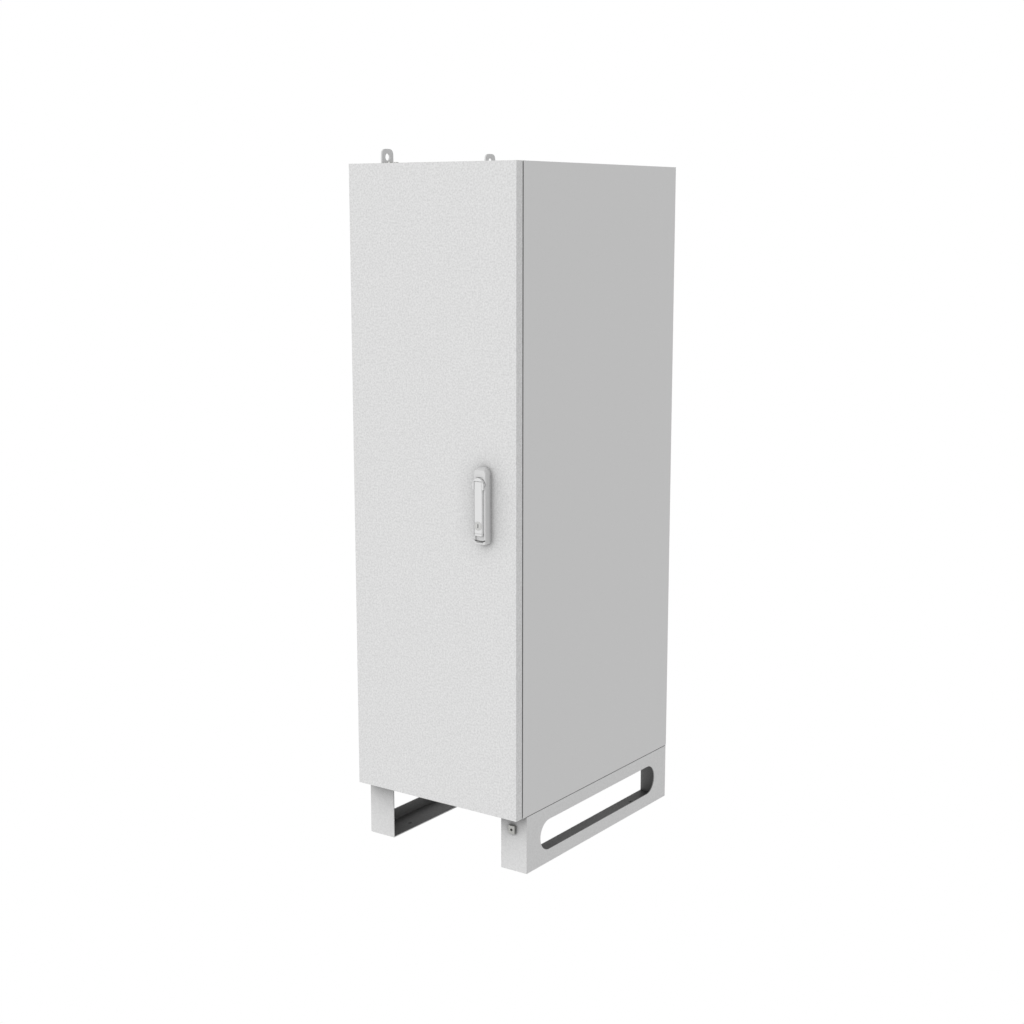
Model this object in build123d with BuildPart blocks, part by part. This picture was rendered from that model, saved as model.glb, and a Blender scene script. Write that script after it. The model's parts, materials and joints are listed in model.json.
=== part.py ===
from build123d import *
import math
import os

# Battery cabinet: a floor-standing steel cabinet on a two-rail plinth, with a hinged door, a
# swing handle, a rack and pinion rod latch and a stack of battery modules on runners.
# Millimetres. +X is right seen from the front, +Y is back, +Z is up. The origin is the centre
# of the four floor anchor holes, on the floor.

# Overall
cabinet_width = 600.0
cabinet_top = 2077.0
body_front = -430.0
body_back = 410.0
sheet = 2.0
half_width = cabinet_width / 2

# Plinth rails
plinth_height = 177.0
plinth_length = 820.0
plinth_sheet = 3.0
rail_width = 93.0
anchor_edge = 57.5
anchor_spacing_y = 575.0
anchor_hole_radius = 7.0
window_length = 675.0
window_height = 95.0
window_centre_z = 88.0
earth_boss_width = 22.0
earth_boss_height = 25.0
earth_boss_depth = 8.0
earth_boss_z = 130.0
earth_boss_inset = 50.0
earth_hole_radius = 4.0

# Plinth bolts
bolt_inset = 20.0
bolt_y = 350.0
bolt_radius = 5.0
bolt_head_radius = 9.0
bolt_head_height = 6.0
bolt_length = 16.0
hole_clearance = 0.2
cut_overshoot = 1.0

# Floor and roof pans, front frame, posts
pan_return = 25.0
rear_return = 20.0
strip_gap = 0.5
panel_screw_radius = 3.0
frame_stile = 36.0
frame_sill = 51.0
frame_head = 47.0
frame_lip = 15.0
post_size_x = 32.0
post_size_y = 40.0
post_sheet = 2.5

# Gland plate
gland_opening_x = 300.0
gland_opening_y = 120.0
gland_lap = 15.0
gland_y = 260.0

# Lifting lugs
lug_length = 53.0
lug_height = 48.0
lug_sheet = 5.0
lug_foot = 45.0
lug_hole_radius = 11.0
lug_hole_z = 24.0
lug_corner_x = 12.0
lug_corner_z = 16.0
lug_y = (-290.0, 238.0)
lug_screw_spacing = 30.0
lug_screw_radius = 4.0
lug_screw_head_radius = 7.0
lug_screw_head_height = 4.0
lug_screw_end = 10.0

# Rack
bracket_width = 33.5
rail_face = 37.0
rack_hole_inset = 7.55
front_rail_y = -372.0
rear_rail_y = 252.0
rail_leg = 30.0
bay_pitch = 222.25
bay_rise = 11.0
empty_bays = 1
ear_screw_low = 31.75
ear_screw_high = 190.5
rail_hole_radius = 3.5
bracket_low_rise = 146.0
bracket_high_drop = 150.0
bracket_height = 30.0
runner_lap = 22.0
runner_height = 27.0

# Modules
module_clearance = 4.0
module_height = 218.0
module_depth = 520.0
ear_margin = 8.75
ear_sheet = 3.0
ear_screw_radius = 3.0
ear_screw_head = 3.0
ear_screw_reach = 11.0
module_handle_inset = 46.0
module_handle_height = 100.0
module_handle_reach = 25.0
module_handle_width = 10.0
terminal_radius = 9.0
terminal_x = 120.0
terminal_z = 170.0
terminal_length = 12.0

# Door
door_gap = 5.0
door_depth = 30.0
door_rise = 3.0
door_lip = 28.0
door_edge_radius = 1.5
seal_gap = 0.3
seal_width = 10.0
seal_inset = 8.0
stiffener_x = (-160.0, 60.0)
stiffener_width = 40.0
stiffener_depth = 22.0
stiffener_end = 35.0

# Hinges
hinge_radius = 6.0
hinge_pin_radius = 4.0
hinge_pin_fit = 0.05
hinge_low_rise = 150.0
hinge_high_drop = 147.0
knuckle_length = 30.0
hinge_leaf = 30.0
hinge_sheet = 3.0
collar_height = 1.0

# Swing handle
handle_inset = 109.0
swing_z = 1176.0
housing_width = 41.0
housing_drop = 177.0
housing_rise = 48.0
housing_depth = 27.5
housing_draft = 1.0
deck_high_inset = 9.0
deck_low_inset = 3.0
housing_corner = 9.0
yoke_radius = 18.5
yoke_leg = 15.0
yoke_gap = 0.3
pocket_gap = 0.4
pocket_depth = 3.2
lever_width = 28.0
lever_thick = 7.0
lever_corner = 3.0
lever_slot_gap = 0.5
lever_pin_rise = 5.5
lever_drop = 145.0
lever_pin_radius = 1.5
boss_radius = 8.0
boss_clearance = 0.5
boss_tail = 4.0
shaft_fit = 0.05
lock_drop = 120.0
lock_plug_radius = 9.0
key_slot_width = 3.0
key_slot_height = 12.0
key_slot_depth = 4.0
finger_rise = 13.0
finger_depth = 14.0
finger_wall = 5.0
finger_lap = 2.0
handle_screw_high_inset = 18.0
handle_screw_low_inset = 41.0
handle_screw_radius = 3.0

# Rod latch
gear_module = 1.5
gear_teeth = 16
pressure_angle = 20.0
tooth_backlash = 0.2
tip_clearance = 0.375
pinion_thick = 8.0
rod_thick = 6.0
rod_width = 12.0
rod_plane_y = -422.0
square_size = 8.0
hub_radius = 7.0
hub_proud = 1.0
spindle_proud = 2.0
latch_sheet = 3.0
latch_half_width = 33.0
latch_half_height = 50.0
bridge_half_height = 9.0
latch_post = 5.5
rod_lap = 15.0
rod_overlap = 14.0
guide_slack = 0.3
guide_wall = 5.0
guide_height = 24.0
guide_end_inset = 45.0
upper_guide_drop = 390.0
upper_guide_rise = 114.0
lower_guide_rise = 470.0
lower_guide_drop = 116.0

# Control box
box_depth = 300.0
breaker_width = 80.0
breaker_height = 130.0
breaker_x = 100.0
breaker_proud = 8.0
breaker_behind = 55.0
toggle_radius = 9.0
toggle_width = 16.0
toggle_reach = 24.0
toggle_thick = 8.0
toggle_fit = 0.4
toggle_tilt = 20.0
button_x = -60.0
button_radius = 8.0
button_bezel_radius = 12.0
button_proud = 6.0
button_length = 20.0
button_rounding = 1.0

# Busbars and earth
support_low_rise = 241.0
support_high_drop = 257.0
support_height = 30.0
support_sheet = 3.0
insulator_radius = 14.0
insulator_length = 30.0
busbar_x = 80.0
busbar_width = 40.0
busbar_thick = 6.0
busbar_low_tail = 90.0
busbar_high_tail = 80.0
earth_bar_length = 240.0
earth_bar_y = 375.0
earth_bar_width = 20.0
earth_bar_thick = 6.0
earth_bar_stand = 10.0

# Places worked out from the sizes above: the carcass
wall_inner = half_width - sheet
floor_top = plinth_height + sheet
roof_low = cabinet_top - sheet
middle_z = (floor_top + cabinet_top) / 2
anchor_x = half_width - anchor_edge
bolt_x = half_width - bolt_inset
earth_boss_x = half_width - earth_boss_inset
opening_half_width = wall_inner - frame_stile
opening_low = floor_top + frame_sill
opening_high = cabinet_top - frame_head
post_low = floor_top + pan_return
post_high = roof_low - pan_return

# The rack stands off the corner posts; as many bays as fit, the top one for the control box
post_leg_x = wall_inner - post_sheet
rail_outer_x = post_leg_x - bracket_width
rail_inner_x = rail_outer_x - rail_face
rack_hole_x = rail_inner_x + rack_hole_inset
runner_inner_x = rail_inner_x - runner_lap
module_width = 2 * (rail_inner_x - module_clearance)
ear_width = 2 * (rack_hole_x + ear_margin)
module_handle_x = module_width / 2 - module_handle_inset
bay_low = opening_low + bay_rise
bay_count = int((opening_high - bay_low) / bay_pitch)
module_count = bay_count - 1 - empty_bays
bracket_z = (post_low + bracket_low_rise, middle_z, post_high - bracket_high_drop)
support_low_z = floor_top + support_low_rise
support_high_z = cabinet_top - support_high_drop
support_z = (support_low_z, (support_low_z + support_high_z) / 2, support_high_z)
busbar_low = support_low_z - busbar_low_tail
busbar_high = support_high_z + busbar_high_tail

# The door, its hinges, its handle and its rods
door_low = plinth_height + door_rise
hinge_x = -half_width - hinge_radius
hinge_z = (door_low + hinge_low_rise, middle_z, cabinet_top - hinge_high_drop)
handle_x = half_width - handle_inset
housing_low = swing_z - housing_drop
housing_high = swing_z + housing_rise
deck_low = housing_low + deck_low_inset
deck_high = housing_high - deck_high_inset
handle_screw_z = (housing_high - handle_screw_high_inset, housing_low + handle_screw_low_inset)
finger_low = housing_low + finger_rise
lever_pin_z = swing_z + lever_pin_rise
lever_end_z = swing_z - lever_drop
lock_z = swing_z - lock_drop
upper_rod_top = opening_high + rod_lap
lower_rod_low = opening_low - rod_lap
upper_guide_z = (swing_z + upper_guide_rise, opening_high - upper_guide_drop,
                 opening_high - guide_end_inset)
lower_guide_z = (opening_low + guide_end_inset, opening_low + lower_guide_rise,
                 swing_z - lower_guide_drop)
door_back = body_front - door_gap
door_front = door_back - door_depth
skin_back = door_front + sheet
hinge_y = body_front - door_gap / 2
deck_y = door_front - housing_depth
lever_back_y = deck_y - 2 * yoke_gap
lever_front_y = lever_back_y - lever_thick
lever_pin_y = lever_back_y - lever_thick / 2
ear_front = front_rail_y - ear_sheet
pitch_radius = gear_module * gear_teeth / 2
rod_face = pitch_radius - gear_module

os.makedirs("parts", exist_ok=True)


def block(x_span, y_span, z_span, mode=Mode.ADD):
    """A box between two x, two y and two z values, in any order."""
    spans = [sorted(span) for span in (x_span, y_span, z_span)]
    middle = tuple((low + high) / 2 for low, high in spans)
    with Locations(middle):
        Box(*(high - low for low, high in spans), mode=mode)


def rod_along_y(x, z, y_span, radius, mode=Mode.ADD):
    """A round bar along Y between two y values."""
    low, high = sorted(y_span)
    with BuildSketch(Plane.XZ.offset(-high)) as section:
        with Locations((x, z)):
            Circle(radius)
    extrude(section.sketch, amount=high - low, mode=mode)


def rod_along_z(x, y, z_span, radius, mode=Mode.ADD):
    """A round bar along Z between two z values."""
    low, high = sorted(z_span)
    with BuildSketch(Plane.XY.offset(low)) as section:
        with Locations((x, y)):
            Circle(radius)
    extrude(section.sketch, amount=high - low, mode=mode)


def keep(piece, name):
    """Label a finished sub-part and write it as the node of that name."""
    piece.part.label = name
    export_step(piece.part, f"parts/{name}.step")


# Plinth: each rail is a folded pan, open to the inside, with a long round-ended window
for side, hand in ((-1, "left"), (1, "right")):
    outer = side * half_width
    inner = side * (half_width - rail_width)
    half_length = plinth_length / 2
    with BuildPart() as plinth_rail:
        block((inner, outer), (-half_length, half_length), (0, plinth_height))
        block((inner - side * cut_overshoot, outer - side * plinth_sheet),
              (-half_length + plinth_sheet, half_length - plinth_sheet),
              (plinth_sheet, plinth_height - plinth_sheet), Mode.SUBTRACT)
        with BuildSketch(Plane.YZ.offset(outer)):
            with Locations((0, window_centre_z)):
                SlotOverall(window_length, window_height)
        extrude(amount=plinth_sheet + cut_overshoot, both=True, mode=Mode.SUBTRACT)
        for end in (-1, 1):
            rod_along_z(side * anchor_x, end * anchor_spacing_y / 2,
                        (0, plinth_sheet), anchor_hole_radius, Mode.SUBTRACT)
            rod_along_z(side * bolt_x, end * bolt_y, (plinth_height - plinth_sheet, plinth_height),
                        bolt_radius + hole_clearance, Mode.SUBTRACT)
    keep(plinth_rail, f"plinth_rail_{hand}")

with BuildPart() as earth_boss:
    boss_y = (-plinth_length / 2, -plinth_length / 2 - earth_boss_depth)
    block((earth_boss_x - earth_boss_width / 2, earth_boss_x + earth_boss_width / 2), boss_y,
          (earth_boss_z - earth_boss_height / 2, earth_boss_z + earth_boss_height / 2))
    rod_along_y(earth_boss_x, earth_boss_z, boss_y, earth_hole_radius, Mode.SUBTRACT)
keep(earth_boss, "earth_boss")

with BuildPart() as plinth_bolts:
    for x in (-bolt_x, bolt_x):
        for y in (-bolt_y, bolt_y):
            with BuildSketch(Plane.XY.offset(floor_top)):
                with Locations((x, y)):
                    RegularPolygon(bolt_head_radius, 6)
            extrude(amount=bolt_head_height)
            rod_along_z(x, y, (floor_top - bolt_length, floor_top), bolt_radius)
keep(plinth_bolts, "plinth_bolts")

# Carcass: floor and roof pans
gland_half_x = gland_opening_x / 2
gland_half_y = gland_opening_y / 2
gland_screw_x = gland_half_x + gland_lap / 2
gland_screw_y = gland_half_y + gland_lap / 2
gland_screw_places = [(x, gland_y + y) for x in (-gland_screw_x, gland_screw_x)
                      for y in (-gland_screw_y, gland_screw_y)]
pan_front = body_front + sheet
pan_back = body_back - sheet
with BuildPart() as floor_pan:
    block((-wall_inner, wall_inner), (pan_front, pan_back), (plinth_height, floor_top + pan_return))
    block((-wall_inner + sheet, wall_inner - sheet), (pan_front + sheet, pan_back - sheet),
          (floor_top, floor_top + pan_return + sheet), Mode.SUBTRACT)
    block((-gland_half_x, gland_half_x), (gland_y - gland_half_y, gland_y + gland_half_y),
          (plinth_height, floor_top), Mode.SUBTRACT)
    for x, y in gland_screw_places:
        rod_along_z(x, y, (plinth_height, floor_top), panel_screw_radius + hole_clearance,
                    Mode.SUBTRACT)
    for x in (-bolt_x, bolt_x):
        for y in (-bolt_y, bolt_y):
            rod_along_z(x, y, (plinth_height, floor_top), bolt_radius + hole_clearance,
                        Mode.SUBTRACT)
keep(floor_pan, "floor_pan")

with BuildPart() as gland_plate:
    block((-gland_half_x - gland_lap, gland_half_x + gland_lap),
          (gland_y - gland_half_y - gland_lap, gland_y + gland_half_y + gland_lap),
          (floor_top, floor_top + sheet))
    for x, y in gland_screw_places:
        rod_along_z(x, y, (floor_top, floor_top + sheet), panel_screw_radius + hole_clearance,
                    Mode.SUBTRACT)
keep(gland_plate, "gland_plate")

with BuildPart() as gland_screws:
    for x, y in gland_screw_places:
        rod_along_z(x, y, (floor_top + sheet, floor_top + 2 * sheet), 2 * panel_screw_radius)
        rod_along_z(x, y, (plinth_height - sheet, floor_top + sheet), panel_screw_radius)
keep(gland_screws, "gland_screws")

lug_wall_x = -half_width
lug_screw_x = lug_wall_x + lug_sheet + (lug_foot - lug_sheet) / 2
lug_screw_places = [(lug_screw_x, y + end * lug_screw_spacing / 2)
                    for y in lug_y for end in (-1, 1)]
with BuildPart() as roof_panel:
    block((-wall_inner, wall_inner), (pan_front, pan_back), (roof_low - pan_return, cabinet_top))
    block((-wall_inner + sheet, wall_inner - sheet), (pan_front + sheet, pan_back - sheet),
          (roof_low - pan_return - sheet, roof_low), Mode.SUBTRACT)
    for x, y in lug_screw_places:
        rod_along_z(x, y, (roof_low, cabinet_top), lug_screw_radius + hole_clearance, Mode.SUBTRACT)
keep(roof_panel, "roof_panel")

# Carcass: side walls, each with a rear return that the rear panel screws to
rear_screw_x = wall_inner - rear_return / 2
rear_screw_z = [floor_top + pan_return + step * (roof_low - floor_top - 2 * pan_return) / 4
                for step in range(5)]
for side, hand in ((-1, "left"), (1, "right")):
    with BuildPart() as side_wall:
        block((side * wall_inner, side * half_width), (body_front, body_back),
              (floor_top, cabinet_top))
        block((side * (wall_inner - rear_return), side * wall_inner),
              (body_back - sheet, body_back), (floor_top, cabinet_top))
        for z in rear_screw_z:
            rod_along_y(side * rear_screw_x, z, (body_back - sheet, body_back),
                        panel_screw_radius + hole_clearance, Mode.SUBTRACT)
    keep(side_wall, f"side_wall_{hand}")

with BuildPart() as rear_panel:
    block((-half_width, half_width), (body_back, body_back + sheet), (floor_top, cabinet_top))
    strip_half = wall_inner - rear_return - strip_gap
    block((-strip_half, strip_half), (body_back - sheet, body_back),
          (floor_top, floor_top + pan_return))
    block((-strip_half, strip_half), (body_back - sheet, body_back),
          (cabinet_top - pan_return, cabinet_top))
    for x in (-rear_screw_x, rear_screw_x):
        for z in rear_screw_z:
            rod_along_y(x, z, (body_back, body_back + sheet), panel_screw_radius + hole_clearance,
                        Mode.SUBTRACT)
keep(rear_panel, "rear_panel")

with BuildPart() as rear_screws:
    for x in (-rear_screw_x, rear_screw_x):
        for z in rear_screw_z:
            rod_along_y(x, z, (body_back + sheet, body_back + 2 * sheet), 2 * panel_screw_radius)
            rod_along_y(x, z, (body_back - sheet, body_back + sheet), panel_screw_radius)
keep(rear_screws, "rear_screws")

with BuildPart() as front_frame:
    block((-wall_inner, wall_inner), (body_front, pan_front), (floor_top, cabinet_top))
    block((-opening_half_width, opening_half_width), (body_front, pan_front),
          (opening_low, opening_high), Mode.SUBTRACT)
    for side in (-1, 1):
        block((side * opening_half_width, side * (opening_half_width + sheet)),
              (body_front, pan_front + frame_lip), (opening_low, opening_high))
keep(front_frame, "front_frame")

with BuildPart() as corner_posts:
    for side in (-1, 1):
        for end, corner_y in ((-1, pan_front), (1, pan_back)):
            block((side * wall_inner, side * (wall_inner - post_size_x)),
                  (corner_y, corner_y - end * post_size_y), (post_low, post_high))
            block((side * post_leg_x, side * (wall_inner - post_size_x - cut_overshoot)),
                  (corner_y - end * post_sheet, corner_y - end * (post_size_y + cut_overshoot)),
                  (post_low, post_high), Mode.SUBTRACT)
keep(corner_posts, "corner_posts")

# Rack: L-section rails, drilled for the ear screws of every bay
bay_z = [bay_low + bay * bay_pitch for bay in range(bay_count)]
ear_screw_z = [z + offset for z in bay_z for offset in (ear_screw_low, ear_screw_high)]
for side, hand in ((-1, "left"), (1, "right")):
    for end, place, face_y in ((-1, "front", front_rail_y), (1, "rear", rear_rail_y)):
        plate_y = (face_y, face_y - end * sheet)
        with BuildPart() as rack_rail:
            block((side * rail_inner_x, side * rail_outer_x), plate_y, (floor_top, roof_low))
            block((side * (rail_outer_x - sheet), side * rail_outer_x),
                  (face_y, face_y - end * (rail_leg + sheet)), (floor_top, roof_low))
            with BuildSketch(Plane.XZ.offset(-max(plate_y))):
                with Locations([(side * rack_hole_x, z) for z in ear_screw_z]):
                    Rectangle(2 * rail_hole_radius, 2 * rail_hole_radius)
            extrude(amount=sheet, mode=Mode.SUBTRACT)
        keep(rack_rail, f"rack_rail_{place}_{hand}")

front_bracket_y = (pan_front + post_size_y - 2 * sheet, front_rail_y + rail_leg - sheet)
rear_bracket_y = (rear_rail_y - rail_leg + sheet, pan_back - post_size_y + 2 * sheet)
with BuildPart() as rail_brackets:
    for side in (-1, 1):
        for y_low, y_high in (front_bracket_y, rear_bracket_y):
            for z in bracket_z:
                low, high = z - bracket_height / 2, z + bracket_height / 2
                block((side * rail_outer_x, side * post_leg_x), (y_low, y_high), (low, high))
                block((side * (rail_outer_x + sheet), side * (post_leg_x - sheet)),
                      (y_low + sheet, y_high - sheet), (low + sheet, high), Mode.SUBTRACT)
keep(rail_brackets, "rail_brackets")

runner_x = rail_outer_x - sheet
for side, hand in ((-1, "left"), (1, "right")):
    runner_y = (front_rail_y + 2 * sheet, rear_rail_y - 2 * sheet)
    with BuildPart() as runners:
        for z in bay_z:
            block((side * runner_inner_x, side * runner_x), runner_y, (z - sheet, z))
            block((side * (runner_x - sheet), side * runner_x), runner_y,
                  (z - sheet, z + runner_height - sheet))
    keep(runners, f"runners_{hand}")


def face_plate(z):
    """The front plate of one bay's unit, with ears drilled for its screws."""
    block((-ear_width / 2, ear_width / 2), (ear_front, front_rail_y), (z, z + module_height))
    for x in (-rack_hole_x, rack_hole_x):
        for offset in (ear_screw_low, ear_screw_high):
            rod_along_y(x, z + offset, (ear_front, front_rail_y),
                        ear_screw_radius + hole_clearance, Mode.SUBTRACT)


def pull_handles(z):
    """Two upright bow handles on a unit's front plate."""
    middle = z + module_height / 2
    for x in (-module_handle_x, module_handle_x):
        half = module_handle_height / 2
        half_bar = module_handle_width / 2
        block((x - half_bar, x + half_bar), (ear_front - module_handle_reach, ear_front),
              (middle - half, middle + half))
        block((x - half_bar, x + half_bar),
              (ear_front - module_handle_reach + module_handle_width, ear_front),
              (middle - half + module_handle_width, middle + half - module_handle_width),
              Mode.SUBTRACT)


for number, z in enumerate(bay_z[:module_count], start=1):
    with BuildPart() as battery_module:
        face_plate(z)
        block((-module_width / 2, module_width / 2), (front_rail_y, front_rail_y + module_depth),
              (z, z + module_height))
        pull_handles(z)
        for x in (-terminal_x, terminal_x):
            rod_along_y(x, z + terminal_z, (ear_front - terminal_length, ear_front),
                        terminal_radius)
    keep(battery_module, f"battery_module_{number}")

# Control box in the top bay, with the breaker and the start button in its front plate
box_z = bay_z[-1]
box_middle_z = box_z + module_height / 2
with BuildPart() as control_box:
    face_plate(box_z)
    block((-module_width / 2, module_width / 2), (front_rail_y, front_rail_y + box_depth),
          (box_z, box_z + module_height))
    block((-module_width / 2 + sheet, module_width / 2 - sheet),
          (front_rail_y, front_rail_y + box_depth - sheet),
          (box_z + sheet, box_z + module_height - sheet), Mode.SUBTRACT)
    block((breaker_x - breaker_width / 2, breaker_x + breaker_width / 2), (ear_front, front_rail_y),
          (box_middle_z - breaker_height / 2, box_middle_z + breaker_height / 2), Mode.SUBTRACT)
    rod_along_y(button_x, box_middle_z, (ear_front - button_proud / 2, ear_front),
                button_bezel_radius)
    rod_along_y(button_x, box_middle_z, (ear_front - button_proud, front_rail_y),
                button_radius + shaft_fit, Mode.SUBTRACT)
    pull_handles(box_z)
keep(control_box, "control_box")

with BuildPart() as start_button:
    rod_along_y(button_x, box_middle_z,
                (ear_front - button_proud, ear_front - button_proud + button_length), button_radius)
    fillet(start_button.faces().sort_by(Axis.Y)[0].edges(), button_rounding)
keep(start_button, "start_button")

toggle_y = ear_front + toggle_radius - breaker_proud
with BuildPart() as breaker_body:
    block((breaker_x - breaker_width / 2, breaker_x + breaker_width / 2),
          (ear_front - breaker_proud, ear_front + breaker_behind),
          (box_middle_z - breaker_height / 2, box_middle_z + breaker_height / 2))
    with BuildSketch(Plane.YZ.offset(breaker_x)):
        with Locations((toggle_y, box_middle_z)):
            Circle(toggle_radius + toggle_fit)
    extrude(amount=toggle_width / 2 + toggle_fit, both=True, mode=Mode.SUBTRACT)
    toggle_slot = toggle_radius + toggle_fit
    block((breaker_x - toggle_width / 2 - toggle_fit, breaker_x + toggle_width / 2 + toggle_fit),
          (ear_front - breaker_proud, toggle_y),
          (box_middle_z - toggle_slot, box_middle_z + toggle_slot), Mode.SUBTRACT)
keep(breaker_body, "breaker_body")

with BuildPart() as breaker_toggle:
    with BuildSketch(Plane.YZ.offset(breaker_x)):
        with Locations((toggle_y, box_middle_z)):
            Circle(toggle_radius)
        with Locations((toggle_y, box_middle_z)):
            Rectangle(toggle_radius + toggle_reach, toggle_thick, rotation=-toggle_tilt,
                      align=(Align.MAX, Align.CENTER))
    extrude(amount=toggle_width / 2, both=True)
keep(breaker_toggle, "breaker_toggle")

with BuildPart() as module_screws:
    for z in bay_z[:module_count] + [box_z]:
        for x in (-rack_hole_x, rack_hole_x):
            for offset in (ear_screw_low, ear_screw_high):
                rod_along_y(x, z + offset, (ear_front - ear_screw_head, ear_front),
                            2 * ear_screw_radius)
                rod_along_y(x, z + offset, (ear_front, ear_front + ear_screw_reach),
                            ear_screw_radius)
keep(module_screws, "module_screws")

# Busbars behind the rack, on insulators and cross supports
support_back = rear_rail_y + support_sheet
insulator_back = support_back + insulator_length
with BuildPart() as busbar_supports:
    for z in support_z:
        block((-rail_outer_x, rail_outer_x), (rear_rail_y, support_back),
              (z - support_height / 2, z + support_height / 2))
keep(busbar_supports, "busbar_supports")

with BuildPart() as busbar_insulators:
    for x in (-busbar_x, busbar_x):
        for z in support_z:
            rod_along_y(x, z, (support_back, insulator_back), insulator_radius)
keep(busbar_insulators, "busbar_insulators")

for side, name in ((-1, "busbar_negative"), (1, "busbar_positive")):
    with BuildPart() as busbar:
        block((side * busbar_x - busbar_width / 2, side * busbar_x + busbar_width / 2),
              (insulator_back, insulator_back + busbar_thick), (busbar_low, busbar_high))
    keep(busbar, name)

with BuildPart() as earth_bar:
    bar_y = (earth_bar_y - earth_bar_width / 2, earth_bar_y + earth_bar_width / 2)
    bar_top = floor_top + earth_bar_stand + earth_bar_thick
    block((-earth_bar_length / 2, earth_bar_length / 2), bar_y, (floor_top, bar_top))
    block((-earth_bar_length / 2 + earth_bar_width, earth_bar_length / 2 - earth_bar_width), bar_y,
          (floor_top, floor_top + earth_bar_stand), Mode.SUBTRACT)
keep(earth_bar, "earth_bar")

# Lifting lugs on the roof's left edge: an upright plate with an eye, on a foot screwed down
for y, place in zip(lug_y, ("front", "rear")):
    with BuildPart() as lug:
        with BuildSketch(Plane.YZ.offset(lug_wall_x)):
            with BuildLine():
                half = lug_length / 2
                top = cabinet_top + lug_height
                Polyline((y - half, cabinet_top), (y - half, top - lug_corner_z),
                         (y - half + lug_corner_x, top), (y + half - lug_corner_x, top),
                         (y + half, top - lug_corner_z), (y + half, cabinet_top), close=True)
            make_face()
            with Locations((y, top - lug_hole_z)):
                Circle(lug_hole_radius, mode=Mode.SUBTRACT)
        extrude(amount=lug_sheet)
        block((lug_wall_x, lug_wall_x + lug_foot), (y - lug_length / 2, y + lug_length / 2),
              (cabinet_top, cabinet_top + lug_sheet))
        for end in (-1, 1):
            rod_along_z(lug_screw_x, y + end * lug_screw_spacing / 2,
                        (cabinet_top, cabinet_top + lug_sheet), lug_screw_radius + hole_clearance,
                        Mode.SUBTRACT)
    keep(lug, f"lug_{place}")

with BuildPart() as lug_screws:
    foot_top = cabinet_top + lug_sheet
    for x, y in lug_screw_places:
        rod_along_z(x, y, (foot_top, foot_top + lug_screw_head_height), lug_screw_head_radius)
        rod_along_z(x, y, (roof_low - lug_screw_end, foot_top), lug_screw_radius)
keep(lug_screws, "lug_screws")

# Door: a folded pan with an inward lip for the seal
with BuildPart() as door_panel:
    block((-half_width, half_width), (door_front, door_back), (door_low, cabinet_top))
    block((-half_width + sheet, half_width - sheet), (skin_back, door_back - sheet),
          (door_low + sheet, cabinet_top - sheet), Mode.SUBTRACT)
    block((-half_width + door_lip, half_width - door_lip), (door_back - sheet, door_back),
          (door_low + door_lip, cabinet_top - door_lip), Mode.SUBTRACT)
    fillet(door_panel.faces().sort_by(Axis.Y)[0].edges(), door_edge_radius)
    rod_along_y(handle_x, swing_z, (door_front, skin_back), boss_radius + boss_clearance,
                Mode.SUBTRACT)
    for z in handle_screw_z:
        rod_along_y(handle_x, z, (door_front, skin_back), handle_screw_radius + hole_clearance,
                    Mode.SUBTRACT)
keep(door_panel, "door_panel")

with BuildPart() as door_seal:
    seal_x = half_width - seal_inset
    seal_y = (door_back, body_front - seal_gap)
    block((-seal_x, seal_x), seal_y, (door_low + seal_inset, cabinet_top - seal_inset))
    block((-seal_x + seal_width, seal_x - seal_width), seal_y,
          (door_low + seal_inset + seal_width, cabinet_top - seal_inset - seal_width),
          Mode.SUBTRACT)
keep(door_seal, "door_seal")

with BuildPart() as door_stiffeners:
    for x in stiffener_x:
        half = stiffener_width / 2
        z_span = (door_low + stiffener_end, cabinet_top - stiffener_end)
        block((x - half, x + half), (skin_back, skin_back + stiffener_depth), z_span)
        block((x - half + sheet, x + half - sheet),
              (skin_back, skin_back + stiffener_depth - sheet), z_span, Mode.SUBTRACT)
keep(door_stiffeners, "door_stiffeners")

# Hinges: the body knuckle is below, the door knuckle above, with a collared pin between
leaf_x = (-half_width - hinge_sheet, -half_width)
with BuildPart() as hinge_knuckles_body:
    for z in hinge_z:
        z_span = (z - knuckle_length, z)
        rod_along_z(hinge_x, hinge_y, z_span, hinge_radius)
        block(leaf_x, (hinge_y, hinge_y + hinge_leaf), z_span)
        rod_along_z(hinge_x, hinge_y, z_span, hinge_pin_radius + hinge_pin_fit, Mode.SUBTRACT)
keep(hinge_knuckles_body, "hinge_knuckles_body")

with BuildPart() as hinge_knuckles_door:
    for z in hinge_z:
        z_span = (z + collar_height, z + collar_height + knuckle_length)
        rod_along_z(hinge_x, hinge_y, z_span, hinge_radius)
        block(leaf_x, (hinge_y - hinge_leaf, hinge_y), z_span)
        rod_along_z(hinge_x, hinge_y, z_span, hinge_pin_radius + hinge_pin_fit, Mode.SUBTRACT)
keep(hinge_knuckles_door, "hinge_knuckles_door")

with BuildPart() as hinge_pins:
    for z in hinge_z:
        rod_along_z(hinge_x, hinge_y, (z - knuckle_length, z + collar_height + knuckle_length),
                    hinge_pin_radius)
        rod_along_z(hinge_x, hinge_y, (z, z + collar_height), hinge_radius)
keep(hinge_pins, "hinge_pins")


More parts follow.
